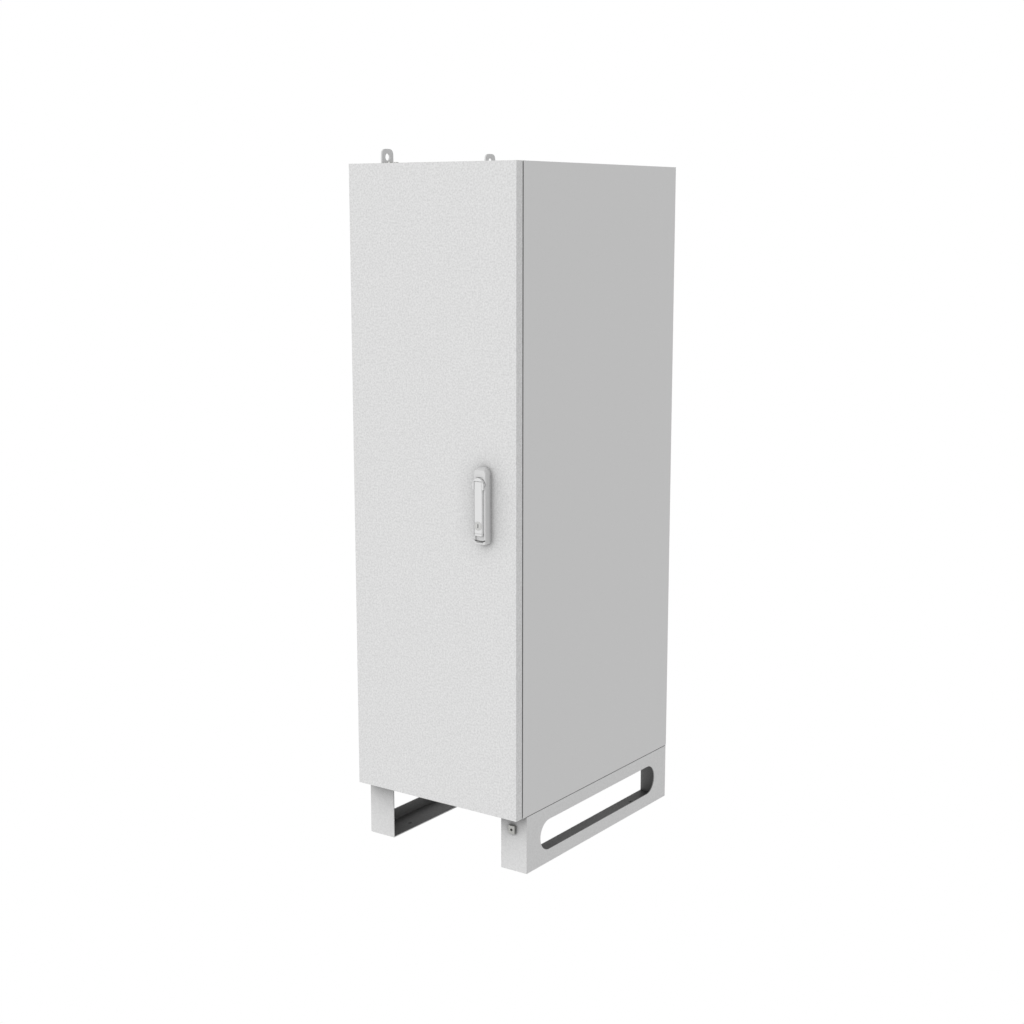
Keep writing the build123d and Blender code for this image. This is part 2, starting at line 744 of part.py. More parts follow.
# Swing handle
def housing_outline(width, low, high):
    """A tall outline with a half-round top and softly rounded bottom corners."""
    half = width / 2
    corner = min(housing_corner, half)
    with BuildLine() as outline:
        Line((handle_x - half, high - half), (handle_x - half, low + corner))
        RadiusArc((handle_x - half, low + corner), (handle_x - half + corner, low), -corner)
        Line((handle_x - half + corner, low), (handle_x + half - corner, low))
        RadiusArc((handle_x + half - corner, low), (handle_x + half, low + corner), -corner)
        Line((handle_x + half, low + corner), (handle_x + half, high - half))
        ThreePointArc((handle_x + half, high - half), (handle_x, high),
                      (handle_x - half, high - half))
    make_face(outline.edges())


with BuildPart() as handle_housing:
    with BuildSketch(Plane.XZ.offset(-door_front)):
        housing_outline(housing_width, housing_low, housing_high)
    with BuildSketch(Plane.XZ.offset(-deck_y)):
        housing_outline(housing_width - housing_draft, deck_low, deck_high)
    loft()
    rod_along_y(handle_x, swing_z, (deck_y, deck_y + pocket_depth), yoke_radius + pocket_gap,
                Mode.SUBTRACT)
    rod_along_y(handle_x, swing_z, (deck_y, door_front), boss_radius + shaft_fit, Mode.SUBTRACT)
    finger_half = housing_width / 2 - finger_wall
    block((handle_x - finger_half, handle_x + finger_half), (deck_y, deck_y + finger_depth),
          (finger_low, lever_end_z + finger_lap), Mode.SUBTRACT)
keep(handle_housing, "handle_housing")

with BuildPart() as handle_screws:
    for z in handle_screw_z:
        rod_along_y(handle_x, z, (door_front, skin_back), handle_screw_radius)
        rod_along_y(handle_x, z, (skin_back, skin_back + handle_screw_radius),
                    2 * handle_screw_radius)
keep(handle_screws, "handle_screws")

yoke_back_y = deck_y + pocket_depth - yoke_gap
yoke_mid_y = deck_y - yoke_gap
boss_back_y = skin_back + boss_tail
spindle_front_y = door_front - boss_radius
with BuildPart() as handle_yoke:
    rod_along_y(handle_x, swing_z, (yoke_mid_y, yoke_back_y), yoke_radius)
    with BuildSketch(Plane.XZ.offset(-yoke_mid_y)):
        with Locations((handle_x, swing_z)):
            Circle(yoke_radius)
        with Locations((handle_x, swing_z - yoke_leg / 2)):
            Rectangle(2 * yoke_radius, yoke_leg)
        slot_top = lever_pin_z + lever_thick / 2 + lever_slot_gap
        slot_low = swing_z - yoke_radius - yoke_leg
        with Locations((handle_x, (slot_top + slot_low) / 2)):
            Rectangle(lever_width + 2 * yoke_gap, slot_top - slot_low, mode=Mode.SUBTRACT)
    extrude(amount=yoke_mid_y - lever_front_y)
    rod_along_y(handle_x, swing_z, (yoke_back_y, boss_back_y), boss_radius)
    block((handle_x - square_size / 2, handle_x + square_size / 2), (spindle_front_y, boss_back_y),
          (swing_z - square_size / 2, swing_z + square_size / 2), Mode.SUBTRACT)
    with BuildSketch(Plane.YZ.offset(handle_x)):
        with Locations((lever_pin_y, lever_pin_z)):
            Circle(lever_pin_radius)
    extrude(amount=yoke_radius, both=True, mode=Mode.SUBTRACT)
keep(handle_yoke, "handle_yoke")

with BuildPart() as lever_pin:
    with BuildSketch(Plane.YZ.offset(handle_x)):
        with Locations((lever_pin_y, lever_pin_z)):
            Circle(lever_pin_radius)
    extrude(amount=yoke_radius - lever_pin_radius, both=True)
keep(lever_pin, "lever_pin")

with BuildPart() as handle_lever:
    with BuildSketch(Plane.YZ.offset(handle_x)):
        with Locations((lever_pin_y, lever_pin_z)):
            Circle(lever_thick / 2)
        with Locations((lever_pin_y, (lever_pin_z + lever_end_z) / 2)):
            Rectangle(lever_thick, lever_pin_z - lever_end_z)
        with Locations((lever_pin_y, lever_pin_z)):
            Circle(lever_pin_radius + shaft_fit, mode=Mode.SUBTRACT)
    extrude(amount=lever_width / 2, both=True)
    low_edges = handle_lever.edges().filter_by(Axis.Y).group_by(Axis.Z)[0]
    fillet(low_edges, lever_corner)
    rod_along_y(handle_x, lock_z, (lever_front_y, lever_back_y), lock_plug_radius + shaft_fit,
                Mode.SUBTRACT)
keep(handle_lever, "handle_lever")

with BuildPart() as lock_plug:
    rod_along_y(handle_x, lock_z, (lever_front_y, lever_back_y), lock_plug_radius)
    block((handle_x - key_slot_width / 2, handle_x + key_slot_width / 2),
          (lever_front_y, lever_front_y + key_slot_depth),
          (lock_z - key_slot_height / 2, lock_z + key_slot_height / 2), Mode.SUBTRACT)
keep(lock_plug, "lock_plug")

# Rod latch: an involute pinion on the handle's spindle drives two toothed flat rods opposite ways
pinion_y = (rod_plane_y - pinion_thick / 2, rod_plane_y + pinion_thick / 2)
plate_back_y = rod_plane_y - rod_thick / 2 - sheet
plate_front_y = plate_back_y - latch_sheet
bridge_front_y = rod_plane_y + rod_thick
bridge_back_y = bridge_front_y + sheet
hub_y = (plate_front_y - hub_proud, bridge_back_y + hub_proud)
spindle_y = (spindle_front_y, bridge_back_y + spindle_proud)

with BuildPart() as spindle:
    half = square_size / 2
    block((handle_x - half, handle_x + half), spindle_y, (swing_z - half, swing_z + half))
keep(spindle, "spindle")

tip_radius = pitch_radius + gear_module
root_radius = pitch_radius - gear_module - tip_clearance
base_radius = pitch_radius * math.cos(math.radians(pressure_angle))


def involute_half_angle(radius):
    """Half the angle that a tooth spans at a radius on its involute flank, in radians."""
    def involute(at_radius):
        tangent = math.sqrt(max((at_radius / base_radius) ** 2 - 1, 0))
        return tangent - math.atan(tangent)
    at_pitch = math.pi / (2 * gear_teeth) - tooth_backlash / (2 * pitch_radius)
    return at_pitch + involute(pitch_radius) - involute(radius)


def polar(radius, angle):
    return (handle_x + radius * math.cos(angle), swing_z + radius * math.sin(angle))


flank_radii = [base_radius + step * (tip_radius - base_radius) / 3 for step in range(4)]
with BuildPart() as pinion:
    with BuildSketch(Plane.XZ.offset(-pinion_y[1])):
        with BuildLine():
            for tooth in range(gear_teeth):
                middle = 2 * math.pi * tooth / gear_teeth
                root_half = involute_half_angle(base_radius)
                rising = [polar(root_radius, middle - root_half)]
                rising += [polar(r, middle - involute_half_angle(r)) for r in flank_radii]
                falling = [polar(r, middle + involute_half_angle(r)) for r in reversed(flank_radii)]
                falling += [polar(root_radius, middle + root_half)]
                next_root = polar(root_radius, middle + 2 * math.pi / gear_teeth - root_half)
                Polyline(*rising, *falling, next_root)
        make_face()
    extrude(amount=pinion_thick)
    rod_along_y(handle_x, swing_z, hub_y, hub_radius)
    half = square_size / 2
    block((handle_x - half, handle_x + half), hub_y, (swing_z - half, swing_z + half),
          Mode.SUBTRACT)
keep(pinion, "pinion")

with BuildPart() as latch_bracket:
    z_span = (swing_z - latch_half_height, swing_z + latch_half_height)
    block((handle_x - latch_half_width, handle_x + latch_half_width), (skin_back, plate_back_y),
          z_span)
    block((handle_x - latch_half_width + latch_sheet, handle_x + latch_half_width - latch_sheet),
          (skin_back, plate_front_y), z_span, Mode.SUBTRACT)
    rod_along_y(handle_x, swing_z, (plate_front_y, plate_back_y), hub_radius + shaft_fit,
                Mode.SUBTRACT)
keep(latch_bracket, "latch_bracket")

with BuildPart() as latch_bridge:
    z_span = (swing_z - bridge_half_height, swing_z + bridge_half_height)
    block((handle_x - latch_half_width, handle_x + latch_half_width),
          (plate_back_y, bridge_back_y), z_span)
    block((handle_x - latch_half_width + latch_post, handle_x + latch_half_width - latch_post),
          (plate_back_y, bridge_front_y), z_span, Mode.SUBTRACT)
    rod_along_y(handle_x, swing_z, (bridge_front_y, bridge_back_y), hub_radius + shaft_fit,
                Mode.SUBTRACT)
keep(latch_bridge, "latch_bridge")

tooth_pitch = math.pi * gear_module
travel = pitch_radius * math.pi / 2
rack_depth = 2 * gear_module + tip_clearance
flank_slope = math.tan(math.radians(pressure_angle))


def latch_rod(side, low, high, first_gap, last_gap):
    """A flat rod beside the pinion, on its +X side or its -X side, with rack teeth cut in."""
    face = handle_x + side * rod_face
    block((face, face + side * rod_width),
          (rod_plane_y - rod_thick / 2, rod_plane_y + rod_thick / 2), (low, high))
    mouth = tooth_pitch / 4 + gear_module * flank_slope + tooth_backlash / 4
    floor = mouth - rack_depth * flank_slope
    deep = face + side * rack_depth
    with BuildSketch(Plane.XZ.offset(-rod_plane_y)) as gaps:
        for gap in range(first_gap, last_gap + 1):
            z = swing_z + gap * tooth_pitch
            with BuildLine() as outline:
                Polyline((face, z - mouth), (deep, z - floor), (deep, z + floor),
                         (face, z + mouth), close=True)
            make_face(outline.edges())
    extrude(gaps.sketch, amount=rod_thick, both=True, mode=Mode.SUBTRACT)


extra_gaps = math.ceil(travel / tooth_pitch) + 2
with BuildPart() as rod_upper:
    latch_rod(1, swing_z - rod_overlap, upper_rod_top, -2, extra_gaps)
keep(rod_upper, "rod_upper")

with BuildPart() as rod_lower:
    latch_rod(-1, lower_rod_low, swing_z + rod_overlap, -extra_gaps, 2)
keep(rod_lower, "rod_lower")

with BuildPart() as rod_guides:
    for side, places in ((1, upper_guide_z), (-1, lower_guide_z)):
        rod_x = handle_x + side * (rod_face + rod_width / 2)
        slot_half = rod_width / 2 + guide_slack
        slot_depth = rod_thick / 2 + guide_slack
        slot_y = (rod_plane_y - slot_depth, rod_plane_y + slot_depth)
        for z in places:
            z_span = (z - guide_height / 2, z + guide_height / 2)
            block((rod_x - slot_half - guide_wall, rod_x + slot_half + guide_wall),
                  (skin_back, slot_y[1] + guide_wall), z_span)
            block((rod_x - slot_half, rod_x + slot_half), slot_y, z_span, Mode.SUBTRACT)
keep(rod_guides, "rod_guides")
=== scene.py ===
"""Dresses a battery cabinet's solid frame with finishes, fittings and a stage.

Every length is in metres, in the cabinet's own frame: +X right, +Y back, +Z up.
"""
import json
import math

import bmesh
import bpy
import numpy as np
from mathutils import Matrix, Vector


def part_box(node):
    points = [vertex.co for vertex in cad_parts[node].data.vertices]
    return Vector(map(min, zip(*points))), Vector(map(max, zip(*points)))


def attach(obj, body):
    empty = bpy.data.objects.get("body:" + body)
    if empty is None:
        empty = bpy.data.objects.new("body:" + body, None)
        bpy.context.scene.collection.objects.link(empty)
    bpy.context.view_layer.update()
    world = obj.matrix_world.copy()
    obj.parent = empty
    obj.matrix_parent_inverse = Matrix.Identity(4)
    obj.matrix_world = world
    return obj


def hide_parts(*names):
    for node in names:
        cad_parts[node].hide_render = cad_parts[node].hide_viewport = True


bl_info = {
    "name": "Battery cabinet dressing",
    "version": (1, 0, 0),
    "blender": (4, 5, 0),
    "location": "3D View > Sidebar > Cabinet",
    "description": "Adds the finishes, fittings and stage of a battery cabinet to its solid frame",
    "category": "Object",
}

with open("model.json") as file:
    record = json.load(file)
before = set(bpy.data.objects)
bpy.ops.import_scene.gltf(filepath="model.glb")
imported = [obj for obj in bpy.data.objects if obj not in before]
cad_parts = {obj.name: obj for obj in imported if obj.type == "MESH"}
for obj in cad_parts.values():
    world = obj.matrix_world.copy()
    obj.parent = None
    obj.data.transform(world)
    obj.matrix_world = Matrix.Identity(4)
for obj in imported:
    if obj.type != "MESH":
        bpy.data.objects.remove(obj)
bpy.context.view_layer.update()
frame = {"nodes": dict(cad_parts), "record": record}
record = frame["record"]
materials = {}
groups = {}


# ---------------------------------------------------------------- settings
class CabinetFinishes(bpy.types.PropertyGroup):
    paint: bpy.props.FloatVectorProperty(
        name="Paint", description="Powder coat of the cabinet", subtype="COLOR", size=3,
        default=(0.70, 0.70, 0.70), min=0, max=1)
    paint_roughness: bpy.props.FloatProperty(
        name="Paint roughness", description="How matt the powder coat is",
        default=0.55, min=0, max=1, subtype="FACTOR")
    grain_scale: bpy.props.FloatProperty(
        name="Grain scale", description="Powder coat grains in each metre", default=420.0)
    grain_height: bpy.props.FloatProperty(
        name="Grain height", description="Depth of the powder coat's orange peel",
        default=0.00012, unit="LENGTH")
    # Painted shade: how far from other surfaces, and how deeply, ambient occlusion darkens the
    # paint's colour.
    painted_shade_reach: bpy.props.FloatProperty(
        name="Contact reach", description="How far from a neighbour the paint is shaded",
        default=0.09, unit="LENGTH")
    painted_shade_depth: bpy.props.FloatProperty(
        name="Contact shade", description="How dark the paint gets in a corner", default=0.8,
        min=0, max=1, subtype="FACTOR")
    # Painted shade on the plinth rails, reaching further and darker than on the rest of the paint.
    plinth_shade_reach: bpy.props.FloatProperty(
        name="Plinth reach", description="The same under the cabinet, where the shade is deeper",
        default=0.25, unit="LENGTH")
    edge_radius: bpy.props.FloatProperty(
        name="Edge radius", description="Rounding that folded sheet shows at its edges",
        default=0.0008, unit="LENGTH")


class CabinetHandle(bpy.types.PropertyGroup):
    groove_width: bpy.props.FloatProperty(
        name="Groove width", description="Width of the curved slit under the finger recess",
        default=0.0034, unit="LENGTH")
    groove_depth: bpy.props.FloatProperty(
        name="Groove depth", description="Depth of the curved slit", default=0.016, unit="LENGTH")
    recess_depth: bpy.props.FloatProperty(
        name="Recess depth", description="Depth of the finger recess", default=0.006,
        unit="LENGTH")
    lip_height: bpy.props.FloatProperty(
        name="Lip height", description="From the housing's lower end up to the slit",
        default=0.0088, unit="LENGTH")
    lever_lip: bpy.props.FloatProperty(
        name="Lever lip", description="How far the lever's lip hangs into the finger recess",
        default=0.005, unit="LENGTH")
    crown: bpy.props.FloatProperty(
        name="Crown", description="How far the lever's face bows out", default=0.0012,
        unit="LENGTH")


class CabinetUnits(bpy.types.PropertyGroup):
    vent_count: bpy.props.IntProperty(
        name="Vents", description="Upright vents in each module's front", default=20, min=1)
    vent_pitch: bpy.props.FloatProperty(
        name="Vent pitch", description="From one vent to the next", default=0.0095, unit="LENGTH")
    lamp_count: bpy.props.IntProperty(
        name="Lamps", description="Charge lamps in each module's front", default=5, min=1)
    cap_radius: bpy.props.FloatProperty(
        name="Cap radius", description="Radius of the caps over the power terminals",
        default=0.0125, unit="LENGTH")


class CabinetStage(bpy.types.PropertyGroup):
    ambient: bpy.props.FloatProperty(
        name="Ambient", description="Light from all round", default=0.69, min=0)
    key: bpy.props.FloatProperty(
        name="Key", description="Strength of the soft lamp in front", default=1.02, min=0)
    floor_half: bpy.props.FloatProperty(
        name="Floor", description="Half the floor's side", default=30.0, unit="LENGTH")


# ---------------------------------------------------------------- meshes
def grid_faces(rows, columns, start, wrap):
    """Quads between neighbouring rows and columns; wrap joins the last column to the first."""
    across = columns if wrap else columns - 1
    i, j = np.meshgrid(np.arange(rows - 1), np.arange(across), indexing="ij")
    after = (j + 1) % columns
    quads = np.stack([i * columns + j, i * columns + after,
                      (i + 1) * columns + after, (i + 1) * columns + j], axis=-1)
    return start + quads.reshape(-1, 4)


def make_piece(name, grids, body, material):
    """One smooth mesh from several point grids, each (points[rows, columns, 3], wrap), which moves
    with a body and has the material that it is given."""
    points, faces, start = [], [], 0
    for grid, wrap in grids:
        rows, columns = grid.shape[:2]
        points.append(grid.reshape(-1, 3))
        faces.append(grid_faces(rows, columns, start, wrap))
        start += rows * columns
    mesh = bpy.data.meshes.new(name)
    mesh.from_pydata(np.concatenate(points).tolist(), [], np.concatenate(faces).tolist())
    work = bmesh.new()
    work.from_mesh(mesh)
    bmesh.ops.remove_doubles(work, verts=work.verts, dist=1e-6)
    bmesh.ops.dissolve_degenerate(work, edges=work.edges, dist=1e-7)
    bmesh.ops.recalc_face_normals(work, faces=work.faces)
    work.to_mesh(mesh)
    work.free()
    mesh.polygons.foreach_set("use_smooth", [True] * len(mesh.polygons))
    mesh.materials.append(material)
    piece = bpy.data.objects.new(name, mesh)
    bpy.context.scene.collection.objects.link(piece)
    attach(piece, body)
    return piece


def sharpen(piece, degrees):
    """Splits the shading along edges sharper than an angle."""
    piece.data.set_sharp_from_angle(angle=math.radians(degrees))


def signed_power(value, power):
    """A power of a value's size, with the value's sign."""
    return np.sign(value) * np.abs(value) ** power


def soft_block(low, high, squareness=0.18, rows=14, columns=28):
    """A superellipsoid that fills a box: cosines and sines raised to a small power, so that it is a
    block with rounded edges."""
    low, high = np.asarray(low), np.asarray(high)
    up = np.linspace(-math.pi / 2, math.pi / 2, rows)[:, None]
    round_ = np.linspace(0, 2 * math.pi, columns, endpoint=False)[None, :]
    unit = np.stack(np.broadcast_arrays(
        signed_power(np.cos(up), squareness) * signed_power(np.cos(round_), squareness),
        signed_power(np.cos(up), squareness) * signed_power(np.sin(round_), squareness),
        signed_power(np.sin(up), squareness)), axis=-1)
    return (low + high) / 2 + unit * (high - low) / 2, True


def turned(centre, profile, columns=32):
    """A profile of (radius, distance along -Y) pairs turned about an axis along Y."""
    profile = np.asarray(profile)
    turn = np.linspace(0, 2 * math.pi, columns, endpoint=False)[None, :]
    radius, reach = profile[:, :1], profile[:, 1:]
    return np.stack(np.broadcast_arrays(
        centre[0] + radius * np.cos(turn), centre[1] - reach + 0 * turn,
        centre[2] + radius * np.sin(turn)), axis=-1), True


def screw_heads(name, node, places, radius, height, facing):
    """Pan heads with a round socket, in place of a node's plain ones; facing is 1 for -Y and -1
    for +Y. The profile is in shares of the radius and the height."""
    profile = np.array([(1.0, -0.3), (1.0, 0.35), (0.86, 0.8), (0.58, 1.0), (0.5, 0.95),
                        (0.5, 0.3), (0.0, 0.3)]) * (radius, height * facing)
    piece = make_piece(name, [turned(place, profile, 20) for place in places], "cabinet",
                       materials["zinc_steel"])
    sharpen(piece, 35)
    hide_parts(node)


def smooth_step(value, low, high):
    """0 below low, 1 above high, with a smooth cubic between."""
    t = np.clip((value - low) / (high - low), 0, 1)
    return t * t * (3 - 2 * t)


def band(distance, inner, outer):
    """1 within the inner distance of a line, 0 past the outer one, with a smooth cubic between."""
    return 1 - smooth_step(np.abs(distance), inner, outer)


def near_top(z, top, reach):
    """0 until a reach below the top, then rising evenly to 1 at the top."""
    return np.clip((z - (top - reach)) / reach, 0, 1)


def near_end(z, bottom, reach):
    """1 at the bottom, falling evenly to 0 a reach above it."""
    return np.clip(((bottom + reach) - z) / reach, 0, 1)


# ---------------------------------------------------------------- node groups
def new_group(name, inputs, outputs):
    """A shader node group with its sockets, and its input and output nodes."""
    group = bpy.data.node_groups.new(name, "ShaderNodeTree")
    for label, kind, default in inputs:
        made = group.interface.new_socket(name=label, in_out="INPUT", socket_type=kind)
        if default is not None:
            made.default_value = default
    for label, kind in outputs:
        group.interface.new_socket(name=label, in_out="OUTPUT", socket_type=kind)
    return group, group.nodes.new("NodeGroupInput"), group.nodes.new("NodeGroupOutput")


def add(tree, kind, **values):
    """A node with its properties, and its inputs by name or number where a key starts with in_."""
    node = tree.nodes.new(kind)
    for key, value in values.items():
        if key.startswith("in_"):
            label = key[3:].replace("_", " ")
            node.inputs[int(label) if label.isdigit() else label].default_value = value
        else:
            setattr(node, key, value)
    return node


def grain_group():
    """Orange peel: fine noise for the height, and a coarser one that shifts the colour a little."""
    group, start, end = new_group(
        "powder_grain",
        [("Vector", "NodeSocketVector", None), ("Scale", "NodeSocketFloat", 400.0),
         ("Colour", "NodeSocketColor", (0.7, 0.7, 0.7, 1)), ("Shift", "NodeSocketFloat", 0.03)],
        [("Colour", "NodeSocketColor"), ("Height", "NodeSocketFloat")])
    link = group.links.new
    fine = add(group, "ShaderNodeTexNoise", in_Detail=3.0, in_Roughness=0.6)
    half = add(group, "ShaderNodeMath", operation="MULTIPLY", in_1=0.45)
    wide = add(group, "ShaderNodeTexNoise", in_Detail=2.0)
    spread = add(group, "ShaderNodeMapRange", in_From_Min=0.3, in_From_Max=0.7)
    low = add(group, "ShaderNodeMath", operation="SUBTRACT", in_0=1.0)
    high = add(group, "ShaderNodeMath", operation="ADD", in_0=1.0)
    tint = add(group, "ShaderNodeVectorMath", operation="SCALE")
    link(start.outputs["Vector"], fine.inputs["Vector"])
    link(start.outputs["Scale"], fine.inputs["Scale"])
    link(start.outputs["Scale"], half.inputs[0])
    link(start.outputs["Vector"], wide.inputs["Vector"])
    link(half.outputs[0], wide.inputs["Scale"])
    link(wide.outputs["Fac"], spread.inputs["Value"])
    link(start.outputs["Shift"], low.inputs[1])
    link(start.outputs["Shift"], high.inputs[1])
    link(low.outputs[0], spread.inputs["To Min"])
    link(high.outputs[0], spread.inputs["To Max"])
    link(start.outputs["Colour"], tint.inputs[0])
    link(spread.outputs[0], tint.inputs["Scale"])
    link(tint.outputs[0], end.inputs["Colour"])
    link(fine.outputs["Fac"], end.inputs["Height"])
    return group


def brushed_group():
    """Rolled metal: noise stretched along one axis, for height and for roughness."""
    group, start, end = new_group(
        "rolled_metal",
        [("Vector", "NodeSocketVector", None), ("Stretch", "NodeSocketVector", (400, 400, 6)),
         ("Roughness", "NodeSocketFloat", 0.35), ("Spread", "NodeSocketFloat", 0.12)],
        [("Roughness", "NodeSocketFloat"), ("Height", "NodeSocketFloat")])
    link = group.links.new
    scale = add(group, "ShaderNodeVectorMath", operation="MULTIPLY")
    noise = add(group, "ShaderNodeTexNoise", in_Scale=1.0, in_Detail=4.0)
    spread = add(group, "ShaderNodeMath", operation="MULTIPLY_ADD")
    link(start.outputs["Vector"], scale.inputs[0])
    link(start.outputs["Stretch"], scale.inputs[1])
    link(scale.outputs[0], noise.inputs["Vector"])
    link(noise.outputs["Fac"], spread.inputs[0])
    link(start.outputs["Spread"], spread.inputs[1])
    link(start.outputs["Roughness"], spread.inputs[2])
    link(spread.outputs[0], end.inputs["Roughness"])
    link(noise.outputs["Fac"], end.inputs["Height"])
    return group


def group_node(tree, name):
    """A node that places a shared group, which is built the first time it is asked for."""
    if name not in groups:
        groups[name] = {"grain": grain_group, "brushed": brushed_group}[name]()
    node = tree.nodes.new("ShaderNodeGroup")
    node.node_tree = groups[name]
    return node


def new_material(name, roughness, edge, bump, distance, metallic=0.0):
    """A material kept under its name, with rounded edges and a bump that awaits its height."""
    material = bpy.data.materials.new(name)
    materials[name] = material
    material.use_nodes = True
    tree = material.node_tree
    shader = tree.nodes["Principled BSDF"]
    shader.inputs["Roughness"].default_value = roughness
    shader.inputs["Metallic"].default_value = metallic
    place = tree.nodes.new("ShaderNodeTexCoord")
    relief = add(tree, "ShaderNodeBump", in_Strength=bump, in_Distance=distance)
    bevel = add(tree, "ShaderNodeBevel", samples=4, in_Radius=edge)
    tree.links.new(bevel.outputs[0], relief.inputs["Normal"])
    tree.links.new(relief.outputs[0], shader.inputs["Normal"])
    return tree, shader, place, relief


def grained(name, colour, roughness, scale=420.0, shift=0.02, distance=0.0001, bump=0.5,
            edge=0.0008, corner_shade_paint=None):
    """A painted or moulded finish with a fine grain; the last argument gives the reach, depth and
    power of painted shade, a darkening of the colour by ambient occlusion beside other surfaces."""
    tree, shader, place, relief = new_material(name, roughness, edge, bump, distance)
    grain = group_node(tree, "grain")
    grain.inputs["Scale"].default_value = scale
    grain.inputs["Shift"].default_value = shift
    grain.inputs["Colour"].default_value = (*colour, 1)
    tree.links.new(place.outputs["Object"], grain.inputs["Vector"])
    tree.links.new(grain.outputs["Height"], relief.inputs["Height"])
    if not corner_shade_paint:
        tree.links.new(grain.outputs["Colour"], shader.inputs["Base Color"])
        return
    # Painted shade: ambient occlusion near other surfaces darkens the grain's colour.
    reach, depth, power = corner_shade_paint
    near = add(tree, "ShaderNodeAmbientOcclusion", samples=8, in_Distance=reach)
    steep = add(tree, "ShaderNodeMath", operation="POWER", in_1=power)
    level = add(tree, "ShaderNodeMapRange", in_To_Min=1 - depth, in_To_Max=1.0)
    shaded = add(tree, "ShaderNodeVectorMath", operation="SCALE")
    tree.links.new(near.outputs["AO"], steep.inputs[0])
    tree.links.new(steep.outputs[0], level.inputs["Value"])
    tree.links.new(grain.outputs["Colour"], shaded.inputs[0])
    tree.links.new(level.outputs[0], shaded.inputs["Scale"])
    tree.links.new(shaded.outputs[0], shader.inputs["Base Color"])


def rolled(name, colour, roughness, stretch=(400, 400, 6), spread=0.15):
    """A bare metal with rolling marks along one axis."""
    tree, shader, place, relief = new_material(
        name, roughness, edge=0.0005, bump=0.25, distance=0.00005, metallic=1.0)
    shader.inputs["Base Color"].default_value = (*colour, 1)
    marks = group_node(tree, "brushed")
    marks.inputs["Stretch"].default_value = stretch
    marks.inputs["Roughness"].default_value = roughness - spread / 2
    marks.inputs["Spread"].default_value = spread
    tree.links.new(place.outputs["Object"], marks.inputs["Vector"])
    tree.links.new(marks.outputs["Roughness"], shader.inputs["Roughness"])
    tree.links.new(marks.outputs["Height"], relief.inputs["Height"])


# ---------------------------------------------------------------- operators
class CABINET_OT_finishes(bpy.types.Operator):
    """Gives every solid node the finish of its material slot, with painted shade darkening the
    paints and the handle near other surfaces, deepest on the plinth rails
    """
    bl_idname = "cabinet.finishes"
    bl_label = "Finishes"

    def execute(self, context):
        look = context.scene.cabinet_finishes
        paint, matt = tuple(look.paint), look.paint_roughness
        brighter = tuple(c * 1.01 for c in paint)
        coat = dict(scale=look.grain_scale, distance=look.grain_height, edge=look.edge_radius)
        # Painted shade in corners and beside other parts; the handle's parts take it within a short
        # reach.
        corners = (look.painted_shade_reach, look.painted_shade_depth, 1.5)
        moulded = dict(scale=900.0, shift=0.01, distance=0.00005, edge=0.0004,
                       corner_shade_paint=(0.012, look.painted_shade_depth / 2, 1.0))
        grained("cabinet_paint", paint, matt, shift=0.008, bump=0.25, corner_shade_paint=corners, **coat)
        grained("door_paint", brighter, matt, shift=0.11, bump=0.6, corner_shade_paint=corners, **coat)
        grained("box_paint", (0.5, 0.51, 0.53), 0.5, bump=0.4)
        grained("module_case", (0.42, 0.43, 0.45), 0.5)
        rolled("galvanised_sheet", (0.62, 0.63, 0.64), 0.42)
        rolled("zinc_steel", (0.52, 0.52, 0.50), 0.38, (300, 300, 60))
        rolled("busbar_copper", (0.80, 0.45, 0.27), 0.3, (500, 500, 10))
        grained("lock_metal", (0.60, 0.60, 0.59), 0.3, 900.0, 0.01, bump=0.2)
        grained("breaker_plastic", (0.035, 0.035, 0.04), 0.45, 900.0)
        grained("button_plastic", (0.05, 0.36, 0.09), 0.25, 900.0, bump=0.1)
        grained("insulator", (0.42, 0.05, 0.04), 0.35, 700.0, bump=0.2)
        grained("seal_rubber", (0.02, 0.02, 0.02), 0.8, 1200.0, 0.2)
        grained("handle_plastic", (0.68, 0.68, 0.68), 0.42, bump=0.3, **moulded)
        grained("handle_metal", (0.75, 0.75, 0.75), 0.36, bump=0.25, **moulded)
        grained("guide_plastic", (0.04, 0.04, 0.04), 0.5, 900.0)
        # A copy of the paint for the plinth rails whose only real difference is a deeper painted
        # shade under the door's overhang.
        grained("plinth_shaded_paint", paint, matt, shift=0.05, bump=0.4,
                corner_shade_paint=(look.plinth_shade_reach, 0.9, 3.0), **coat)
        grained("lug_paint", paint, matt, shift=0.01, **coat)
        for row in record["subparts"]:
            node = frame["nodes"][row["node"]]
            finish = row["material_slot"]
            # The plinth rails get the copy with the deepest painted shade instead of their slot's
            # paint.
            if row["node"].startswith("plinth_rail"):
                finish = "plinth_shaded_paint"
            for place in node.material_slots:
                place.material = materials[finish]
        return {"FINISHED"}


def no_lift(z):
    """A back that stays flat."""
    return 0 * z


def shell_grid(centre_x, back_y, low, high, half_width, depth, squareness, rows, relief,
               lift=no_lift, through=0.0):
    """A raised shell on a vertical face: across each row it follows a superellipse from one side
    to the other, so the front is flat and the flanks are steep, and relief(x, z) is taken off it.
    lift(z) raises the back, and through is how far a relief deeper than the shell passes it."""
    z = np.linspace(low, high, rows)[:, None]
    turn = np.linspace(math.pi, 0, 121)[None, :]
    across = signed_power(np.cos(turn), squareness)
    out = np.abs(np.sin(turn)) ** squareness
    x = centre_x + across * half_width(z)
    height = np.maximum(out * depth(z) - relief(x, z) * (out > 0.9), -through)
    rear_y = back_y - lift(z)
    front = np.stack(np.broadcast_arrays(x, rear_y - height, z), axis=-1)
    flat = np.stack(np.broadcast_arrays(x, rear_y + np.maximum(-height, 0), z), axis=-1)
    return [(front, False), (flat, False)]


